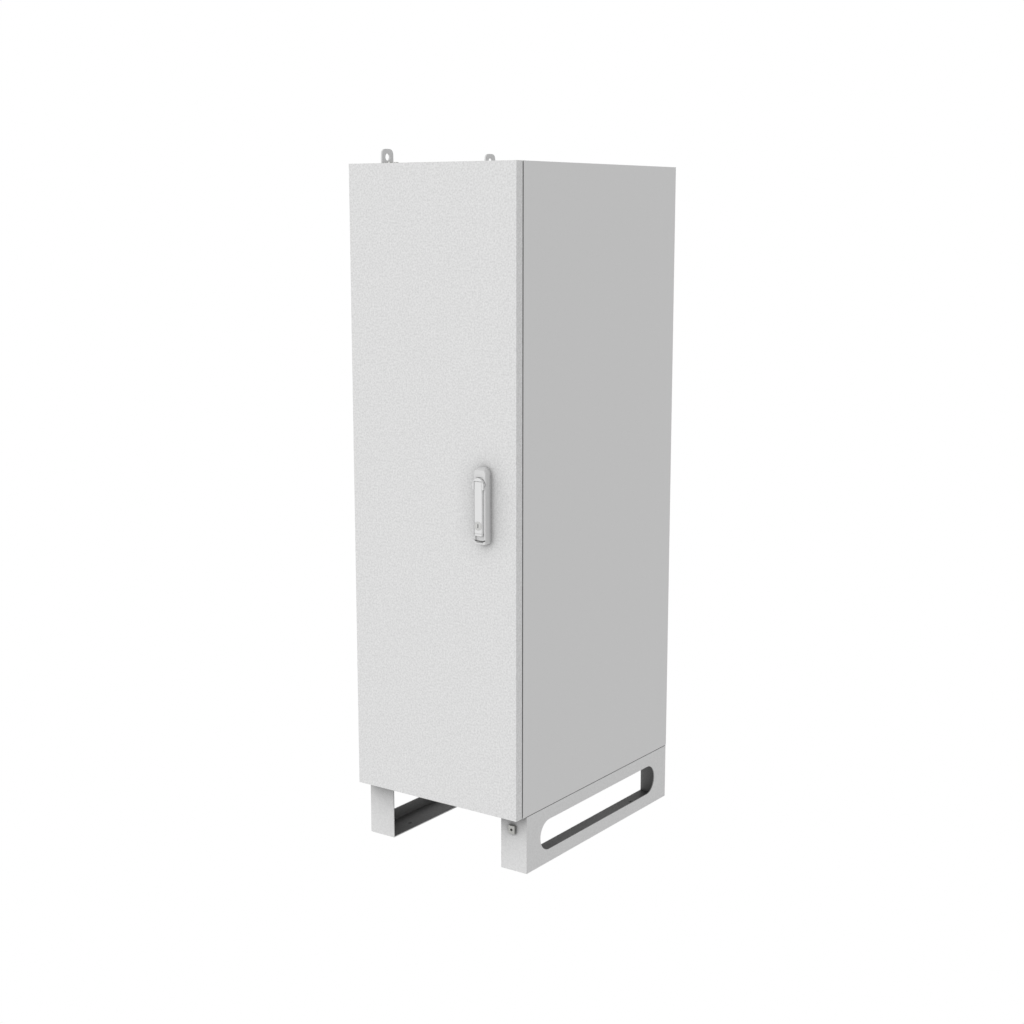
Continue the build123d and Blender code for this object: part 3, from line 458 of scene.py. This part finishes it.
class CABINET_OT_handle_shell(bpy.types.Operator):
    """Builds the handle's moulded housing, with its sloped round top, finger recess and groove"""
    bl_idname = "cabinet.handle_shell"
    bl_label = "Handle housing"

    def execute(self, context):
        look = context.scene.cabinet_handle
        low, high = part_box("handle_housing")
        half = (high[0] - low[0]) / 2
        centre_x = (high[0] + low[0]) / 2
        full = high[1] - low[1]
        lever_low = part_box("handle_lever")[0][2]
        yoke_low, yoke_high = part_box("handle_yoke")
        yoke_radius = (yoke_high[0] - yoke_low[0]) / 2
        swing_z = yoke_high[2] - yoke_radius
        top, bottom = high[2], low[2]
        corner, corner_power = 0.009, 3.2
        slope, slope_power, lip_round = 0.009, 1.6, 0.003
        slit_curve, slit_widening = 16.0, 12.0
        ring_radius, ring_depth, ring_reach = yoke_radius + 0.0006, 0.004, 0.010

        def half_width(z):
            """Half-round at the top, and a flatter superellipse round the bottom."""
            at_top, at_end = near_top(z, top, half), near_end(z, bottom, corner)
            return half * np.sqrt(1 - at_top ** 2) * (1 - at_end ** corner_power) ** (
                1 / corner_power)

        def depth(z):
            """Full depth, sloping off at the top and rounded at the bottom lip."""
            at_top, at_end = near_top(z, top, slope), near_end(z, bottom, lip_round)
            return full * (1 - at_top ** slope_power) * np.sqrt(1 - at_end ** 2)

        def relief(x, z):
            """A recess for the fingers that deepens into a slit along its lower edge, which curves
            up at both ends and widens to the right, and a thin groove round the yoke's disc."""
            off = x - centre_x
            line = bottom + look.lip_height + slit_curve * off ** 2
            recess = (band(off, half - 0.0065, half - 0.0045) * smooth_step(z, line, line + 0.002)
                      * (1 - smooth_step(z, lever_low + 0.001, lever_low + 0.004)))
            wide = look.groove_width * (0.8 + slit_widening * (off + half)) / (
                1 + slit_widening * half)
            slit = band(z - line, wide / 3, wide / 2) * band(off, half - 0.0025, half - 0.0012)
            far = np.hypot(off, z - swing_z)
            ring = band(far - ring_radius, 0.0003, 0.0008) * (z > swing_z - ring_reach)
            taken = np.maximum(look.recess_depth * recess, look.groove_depth * slit)
            return np.maximum(taken, ring_depth * ring)

        grids = shell_grid(centre_x, high[1], bottom, top, half_width, depth, 0.16, 330, relief)
        piece = make_piece("handle_shell", grids, "door", materials["handle_plastic"])
        sharpen(piece, 40)
        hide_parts("handle_housing")
        return {"FINISHED"}


class CABINET_OT_lever_shell(bpy.types.Operator):
    """Builds the lever with a bowed face, a rounded end and the round seat of its lock"""
    bl_idname = "cabinet.lever_shell"
    bl_label = "Handle lever"

    def execute(self, context):
        look = context.scene.cabinet_handle
        low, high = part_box("handle_lever")
        plug_low, plug_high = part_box("lock_plug")
        lock_x = (plug_low[0] + plug_high[0]) / 2
        lock_z = (plug_low[2] + plug_high[2]) / 2
        plug_radius = (plug_high[0] - plug_low[0]) / 2
        half = (high[0] - low[0]) / 2
        thick = high[1] - low[1]
        bottom, top = low[2] - look.lever_lip, high[2]

        corner, end_round, lip_line = 0.004, 0.002, bottom + 0.0075
        dish_depth, ring_depth, line_depth = 0.0006, 0.0008, 0.0012
        ring_radius = half - 0.0012

        def half_width(z):
            """Full width, with rounded corners at the free end."""
            return half - corner * (1 - np.sqrt(1 - near_end(z, bottom, corner) ** 2))

        def depth(z):
            """Round over the pivot at the top, and a small rounding at the free end."""
            at_top, at_end = near_top(z, top, thick / 2), near_end(z, bottom, end_round)
            return thick * np.sqrt(1 - at_top ** 2) * (0.5 + 0.5 * np.sqrt(1 - at_end ** 2))

        def lift(z):
            """The back rounds over the pivot too, so the lever can be lifted."""
            return thick / 2 * (1 - np.sqrt(1 - near_top(z, top, thick / 2) ** 2))

        def relief(x, z):
            """The face falls away from its middle, with a shallow dish and a ring round the lock,
            a hole for the lock's plug and a thin line where the lip begins."""
            off = np.abs(x - lock_x) / half
            far = np.hypot(x - lock_x, z - lock_z)
            face = look.crown * off ** 2 * smooth_step(far, half - 0.001, half + 0.002)
            dish = dish_depth * band(far, half - 0.0022, half - 0.0012)
            ring = ring_depth * band(far - ring_radius, 0.0003, 0.0008)
            hole = 2 * thick * band(far, plug_radius + 0.0001, plug_radius + 0.0006)
            line = line_depth * band(z - lip_line, 0.0004, 0.0011)
            return face + np.maximum(np.maximum(dish, ring), hole) + line

        grids = shell_grid(lock_x, high[1], bottom, top, half_width, depth, 0.22, 400, relief,
                           lift, 0.0003)
        piece = make_piece("lever_shell", grids, "lever", materials["handle_metal"])
        sharpen(piece, 40)
        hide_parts("handle_lever")
        ring = turned((lock_x, low[1], lock_z), [(0.0092, -0.0015), (0.0092, 0.0), (0.0122, 0.0),
                                                 (0.0127, -0.0005), (0.0127, -0.0015)], 48)
        bezel = make_piece("lock_bezel", [ring], "lever", materials["lock_metal"])
        sharpen(bezel, 40)
        # Painted shade: a dark block at the lock's plug stands in for the shade inside the keyhole.
        throat_half, throat_rise, throat_y = 0.0012, 0.0055, plug_low[1] + 0.0008
        throat = soft_block((lock_x - throat_half, throat_y, lock_z - throat_rise),
                            (lock_x + throat_half, throat_y + 0.0028, lock_z + throat_rise))
        make_piece("key_throat", [throat], "lock", materials["guide_plastic"])
        return {"FINISHED"}


class CABINET_OT_unit_fronts(bpy.types.Operator):
    """Fits each rack unit's front with vents, lamps, ports, a switch and terminal caps"""
    bl_idname = "cabinet.unit_fronts"
    bl_label = "Unit fronts"

    def execute(self, context):
        look = context.scene.cabinet_units
        handle_reach, terminal_x, terminal_rise = 0.025, 0.120, 0.170
        port_places, switch_x = (-0.062, -0.040), 0.0555
        lamp_start, lamp_pitch, lamp_rise = -0.012, 0.011, 0.141
        box_lamps, box_lamp_pitch, box_lamp_rise, box_vents = 3, 0.016, 0.040, 9
        dark, lamps, caps_red, caps_black, frames = [], [], [], [], []
        dome = [(0.0030, 0.0), (0.0030, 0.0008), (0.0022, 0.0010), (0.0020, 0.0018),
                (0.0012, 0.0026), (0.0, 0.0028)]
        cap = np.array([(1.0, 0.0), (1.0, 0.011), (0.94, 0.0145), (0.7, 0.0165), (0.66, 0.0160),
                        (0.0, 0.0160)]) * (look.cap_radius, 1.0)

        def fitting(x, face, floor, half, proud, span, *shape):
            """A block let 1 mm into a front; span is its height range above the unit's floor."""
            return soft_block((x - half, face - proud, floor + span[0]),
                              (x + half, face + 0.001, floor + span[1]), *shape)

        def add_vents(count, middle, face, floor, span):
            """A row of upright vents about a middle, each a thin dark block as painted shade for
            the inside of a vent slot.
            """
            for vent in range(count):
                x = middle + (vent - (count - 1) / 2) * look.vent_pitch
                dark.append(fitting(x, face, floor, 0.0015, 0.0004, span, 0.3, 7, 12))

        for name in sorted(name for name in frame["nodes"] if name.startswith("battery_module_")):
            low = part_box(name)[0]
            face, floor = low[1] + handle_reach, low[2]
            add_vents(look.vent_count, 0.0, face, floor, (0.030, 0.085))
            for port in port_places:
                frames.append(fitting(port, face, floor, 0.009, 0.0022, (0.133, 0.150)))
                dark.append(fitting(port, face, floor, 0.0062, 0.0026, (0.1365, 0.1465)))
            dark.append(fitting(switch_x, face, floor, 0.0105, 0.0040, (0.133, 0.149)))
            for lamp in range(look.lamp_count):
                lamps.append(turned((lamp_start + lamp_pitch * lamp, face, floor + lamp_rise),
                                    dome, 16))
            caps_red.append(turned((terminal_x, face, floor + terminal_rise), cap))
            caps_black.append(turned((-terminal_x, face, floor + terminal_rise), cap))
        box_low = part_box("control_box")[0]
        button_low, button_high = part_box("start_button")
        button = ((button_low[0] + button_high[0]) / 2, box_low[1] + handle_reach,
                  (button_low[2] + button_high[2]) / 2)
        for lamp in range(box_lamps):
            x = button[0] + (lamp - (box_lamps - 1) / 2) * box_lamp_pitch
            lamps.append(turned((x, button[1], button[2] + box_lamp_rise), dome, 16))
        add_vents(box_vents, button[0], button[1], box_low[2], (0.022, 0.062))
        bezel = turned(button, [(0.0124, -0.001), (0.0150, 0.0), (0.0150, 0.0024),
                                (0.0138, 0.0036), (0.0124, 0.0036)])
        for label, grids, slot in (
                ("unit_vents", dark, "guide_plastic"), ("unit_ports", frames, "zinc_steel"),
                ("unit_lamps", lamps, "button_plastic"),
                ("terminal_caps_plus", caps_red, "insulator"),
                ("terminal_caps_minus", caps_black, "breaker_plastic"),
                ("button_bezel", [bezel], "zinc_steel")):
            sharpen(make_piece(label, grids, "cabinet", materials[slot]), 50)
        return {"FINISHED"}


class CABINET_OT_screws(bpy.types.Operator):
    """Turns socket heads for the screws of the rack units and the rear panel"""
    bl_idname = "cabinet.screws"
    bl_label = "Screw heads"

    def execute(self, context):
        hole_x, low_hole, high_hole = 0.23255, 0.03175, 0.1905
        radius, head, rear_head, rear_rows = 0.006, 0.003, 0.002, 5
        units = [name for name in frame["nodes"]
                 if name.startswith("battery_module_") or name == "control_box"]
        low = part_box("module_screws")[0]
        places = [(x, low[1] + head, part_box(name)[0][2] + rise) for name in units
                  for x in (-hole_x, hole_x) for rise in (low_hole, high_hole)]
        screw_heads("unit_screw_heads", "module_screws", places, radius, head, 1)
        low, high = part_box("rear_screws")
        places = [(x, high[1] - rear_head, z) for x in (low[0] + radius, high[0] - radius)
                  for z in np.linspace(low[2] + radius, high[2] - radius, rear_rows)]
        screw_heads("rear_screw_heads", "rear_screws", places, radius, rear_head, -1)
        return {"FINISHED"}


class CABINET_OT_door_hinges(bpy.types.Operator):
    """Builds the door's hinge halves, each a rounded barrel with a short leaf on the door's edge"""
    bl_idname = "cabinet.door_hinges"
    bl_label = "Door hinges"

    def execute(self, context):
        low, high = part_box("hinge_knuckles_door")
        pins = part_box("hinge_pins")
        radius, bore, rounding = 0.006, 0.0041, 0.0006
        length, leaf, sheet, leaf_gap = 0.030, 0.024, 0.003, 0.003
        side_x, middle_top = -0.300, 1.159
        centre = (low[0] + radius, (pins[0][1] + pins[1][1]) / 2)
        turn = np.linspace(0, 2 * math.pi, 32, endpoint=False)[None, :]
        barrel = np.array([(bore, 0.0), (radius - rounding, 0.0), (radius, rounding),
                           (radius, length - rounding), (radius - rounding, length),
                           (bore, length)])
        grids = []
        for top in (high[2], middle_top, low[2] + length):
            grids.append((np.stack(np.broadcast_arrays(
                centre[0] + barrel[:, :1] * np.cos(turn), centre[1] + barrel[:, :1] * np.sin(turn),
                top - length + barrel[:, 1:]), axis=-1), True))
            grids.append(soft_block((side_x - sheet, centre[1] - leaf, top - length),
                                    (side_x, centre[1] - leaf_gap, top), 0.1))
        piece = make_piece("door_hinge_halves", grids, "door", materials["zinc_steel"])
        sharpen(piece, 50)
        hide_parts("hinge_knuckles_door")
        return {"FINISHED"}


class CABINET_OT_lugs(bpy.types.Operator):
    """Builds the lifting lugs with a round top, an eye and a screwed foot"""
    bl_idname = "cabinet.lugs"
    bl_label = "Lifting lugs"

    def execute(self, context):
        sheet, eye, drop = 0.005, 0.011, 0.024
        top_power, foot_power = 0.62, 0.12
        turn = np.linspace(0, 2 * math.pi, 96, endpoint=False)
        for place in ("lug_front", "lug_rear"):
            low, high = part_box(place)
            half, middle, eye_z = (high[1] - low[1]) / 2, (high[1] + low[1]) / 2, high[2] - drop
            power = np.where(np.sin(turn) > 0, top_power, foot_power)
            rise = np.where(np.sin(turn) > 0, high[2] - eye_z, eye_z - low[2])
            outer_y = middle + half * signed_power(np.cos(turn), power)
            outer_z = eye_z + rise * signed_power(np.sin(turn), power)
            inner_y, inner_z = middle + eye * np.cos(turn), eye_z + eye * np.sin(turn)
            wall = [(inner_y, inner_z, 0), (outer_y, outer_z, 0), (outer_y, outer_z, sheet),
                    (inner_y, inner_z, sheet), (inner_y, inner_z, 0)]
            plate = np.stack([np.stack([low[0] + x + 0 * turn, y, z], axis=-1)
                              for y, z, x in wall])
            foot = soft_block((low[0] + sheet / 2, low[1], low[2]),
                              (high[0], high[1], low[2] + sheet), 0.08)
            piece = make_piece(place + "_plate", [(plate, True), foot], "cabinet",
                               materials["lug_paint"])
            sharpen(piece, 45)
            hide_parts(place)
        return {"FINISHED"}


class CABINET_OT_seal(bpy.types.Operator):
    """Carries a rounded bulb section round the door's inner edge as its seal"""
    bl_idname = "cabinet.seal"
    bl_label = "Door seal"

    def execute(self, context):
        low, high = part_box("door_seal")
        wide, thick = 0.010, high[1] - low[1]
        bulb = np.linspace(0, math.pi, 13)
        inset = np.append(wide / 2 + wide / 2 * np.cos(bulb), wide / 2)
        rise = np.append(thick * np.sin(bulb) ** 0.6, 0.0)
        corner = 0.014
        turn = np.linspace(0, math.pi / 2, 9)
        path = []
        for quarter, (x, z) in enumerate(((high[0], high[2]), (low[0], high[2]),
                                          (low[0], low[2]), (high[0], low[2]))):
            angle = turn + quarter * math.pi / 2
            sx, sz = (1 if x > 0 else -1), (1 if quarter < 2 else -1)
            path.append(np.stack([x - sx * corner + 0 * angle, z - sz * corner + 0 * angle,
                                  np.cos(angle), np.sin(angle)], axis=-1))
        path = np.concatenate(path)
        path = np.concatenate([path, path[:1]])
        reach = (corner - inset)[None, :]
        x = path[:, :1] + path[:, 2:3] * reach
        z = path[:, 1:2] + path[:, 3:4] * reach
        y = np.broadcast_to(low[1] + rise[None, :], x.shape)
        piece = make_piece("seal_bulb", [(np.stack([x, y, z], axis=-1), True)], "door",
                           materials["seal_rubber"])
        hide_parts("door_seal")
        return {"FINISHED"}


class CABINET_OT_stage(bpy.types.Operator):
    """Sets a glowing floor with painted shade as dark patches under the anchor holes, a soft lamp,
    a surround and the camera
    """
    bl_idname = "cabinet.stage"
    bl_label = "Stage"

    def execute(self, context):
        scene = context.scene
        look = scene.cabinet_stage
        hole_place, hole_shade_radius = (0.2425, 0.2875, 0), 0.009
        lamp_spread, lamp_tilt, lamp_turn = 50, 78, -8
        azimuth, elevation = 35.13, 10.30
        scene.view_settings.view_transform = "Standard"
        half = look.floor_half
        mesh = bpy.data.meshes.new("floor")
        mesh.from_pydata([(-half, -half, 0), (half, -half, 0), (half, half, 0), (-half, half, 0)],
                         [], [(0, 1, 2, 3)])
        floor = bpy.data.objects.new("floor", mesh)
        scene.collection.objects.link(floor)
        material = bpy.data.materials.new("floor")
        material.use_nodes = True
        tree = material.node_tree
        shader = tree.nodes["Principled BSDF"]
        # Painted shade: this dark colour shows only within a small radius under each anchor hole;
        # the rest of the floor glows evenly.
        shader.inputs["Base Color"].default_value = (0.05, 0.05, 0.05, 1)
        shader.inputs["Roughness"].default_value = 0.9
        shader.inputs["Specular IOR Level"].default_value = 0.0
        glow = add(tree, "ShaderNodeEmission", in_Color=(1, 1, 1, 1))
        level = add(tree, "ShaderNodeMapRange", in_To_Min=look.ambient, in_To_Max=1.0)
        path = tree.nodes.new("ShaderNodeLightPath")
        place = tree.nodes.new("ShaderNodeTexCoord")
        quarter = add(tree, "ShaderNodeVectorMath", operation="ABSOLUTE")
        off = add(tree, "ShaderNodeVectorMath", operation="SUBTRACT", in_1=hole_place)
        far = add(tree, "ShaderNodeVectorMath", operation="LENGTH")
        beyond_hole_shade = add(tree, "ShaderNodeMath", operation="GREATER_THAN", in_1=hole_shade_radius)
        mix = tree.nodes.new("ShaderNodeMixShader")
        tree.links.new(place.outputs["Object"], quarter.inputs[0])
        tree.links.new(quarter.outputs[0], off.inputs[0])
        tree.links.new(off.outputs[0], far.inputs[0])
        tree.links.new(far.outputs["Value"], beyond_hole_shade.inputs[0])
        tree.links.new(path.outputs["Is Camera Ray"], level.inputs["Value"])
        tree.links.new(level.outputs[0], glow.inputs["Strength"])
        tree.links.new(beyond_hole_shade.outputs[0], mix.inputs[0])
        tree.links.new(shader.outputs[0], mix.inputs[1])
        tree.links.new(glow.outputs[0], mix.inputs[2])
        tree.links.new(mix.outputs[0], tree.nodes["Material Output"].inputs["Surface"])
        floor.data.materials.append(material)
        floor.visible_shadow = False

        world = bpy.data.worlds.new("surround")
        scene.world = world
        world.use_nodes = True
        tree = world.node_tree
        back = tree.nodes["Background"]
        back.inputs["Color"].default_value = (1, 1, 1, 1)
        path = tree.nodes.new("ShaderNodeLightPath")
        seen = add(tree, "ShaderNodeMath", operation="MAXIMUM")
        level = add(tree, "ShaderNodeMapRange", in_To_Min=look.ambient, in_To_Max=1.0)
        tree.links.new(path.outputs["Is Camera Ray"], seen.inputs[0])
        tree.links.new(path.outputs["Is Transmission Ray"], seen.inputs[1])
        tree.links.new(seen.outputs[0], level.inputs["Value"])
        tree.links.new(level.outputs[0], back.inputs["Strength"])

        lamp = bpy.data.lights.new("front_lamp", "SUN")
        lamp.energy = look.key
        lamp.angle = math.radians(lamp_spread)
        light = bpy.data.objects.new("front_lamp", lamp)
        light.rotation_euler = (math.radians(lamp_tilt), 0, math.radians(lamp_turn))
        scene.collection.objects.link(light)

        camera = bpy.data.cameras.new("camera")
        camera.lens = 57.78
        camera.sensor_width = 36.0
        camera.clip_end = 200.0
        eye = bpy.data.objects.new("camera", camera)
        eye.location = (2.9219, -4.2122, 1.9343)
        eye.rotation_euler = (math.radians(90 - elevation), 0, math.radians(azimuth))
        scene.collection.objects.link(eye)
        scene.camera = eye
        return {"FINISHED"}


class CABINET_PT_panel(bpy.types.Panel):
    """Lists the dressing's steps in the sidebar"""
    bl_idname = "CABINET_PT_panel"
    bl_label = "Battery cabinet"
    bl_space_type = "VIEW_3D"
    bl_region_type = "UI"
    bl_category = "Cabinet"

    def draw(self, context):
        for settings in (context.scene.cabinet_finishes, context.scene.cabinet_handle,
                         context.scene.cabinet_units, context.scene.cabinet_stage):
            for key in settings.bl_rna.properties.keys():
                if key not in {"rna_type", "name"}:
                    self.layout.prop(settings, key)
        for step in STEPS:
            self.layout.operator(step.bl_idname)


STEPS = (CABINET_OT_stage, CABINET_OT_finishes, CABINET_OT_handle_shell, CABINET_OT_lever_shell,
         CABINET_OT_seal, CABINET_OT_unit_fronts, CABINET_OT_screws, CABINET_OT_door_hinges,
         CABINET_OT_lugs)
CLASSES = (CabinetFinishes, CabinetHandle, CabinetUnits, CabinetStage, *STEPS, CABINET_PT_panel)


def register():
    for cls in CLASSES:
        bpy.utils.register_class(cls)
    bpy.types.Scene.cabinet_finishes = bpy.props.PointerProperty(type=CabinetFinishes)
    bpy.types.Scene.cabinet_handle = bpy.props.PointerProperty(type=CabinetHandle)
    bpy.types.Scene.cabinet_units = bpy.props.PointerProperty(type=CabinetUnits)
    bpy.types.Scene.cabinet_stage = bpy.props.PointerProperty(type=CabinetStage)


def unregister():
    for key in ("cabinet_finishes", "cabinet_handle", "cabinet_units", "cabinet_stage"):
        delattr(bpy.types.Scene, key)
    for cls in reversed(CLASSES):
        bpy.utils.unregister_class(cls)


def main():
    register()
    for step in STEPS:
        group, name = step.bl_idname.split(".")
        getattr(getattr(bpy.ops, group), name)()


if __name__ == "__main__":
    main()
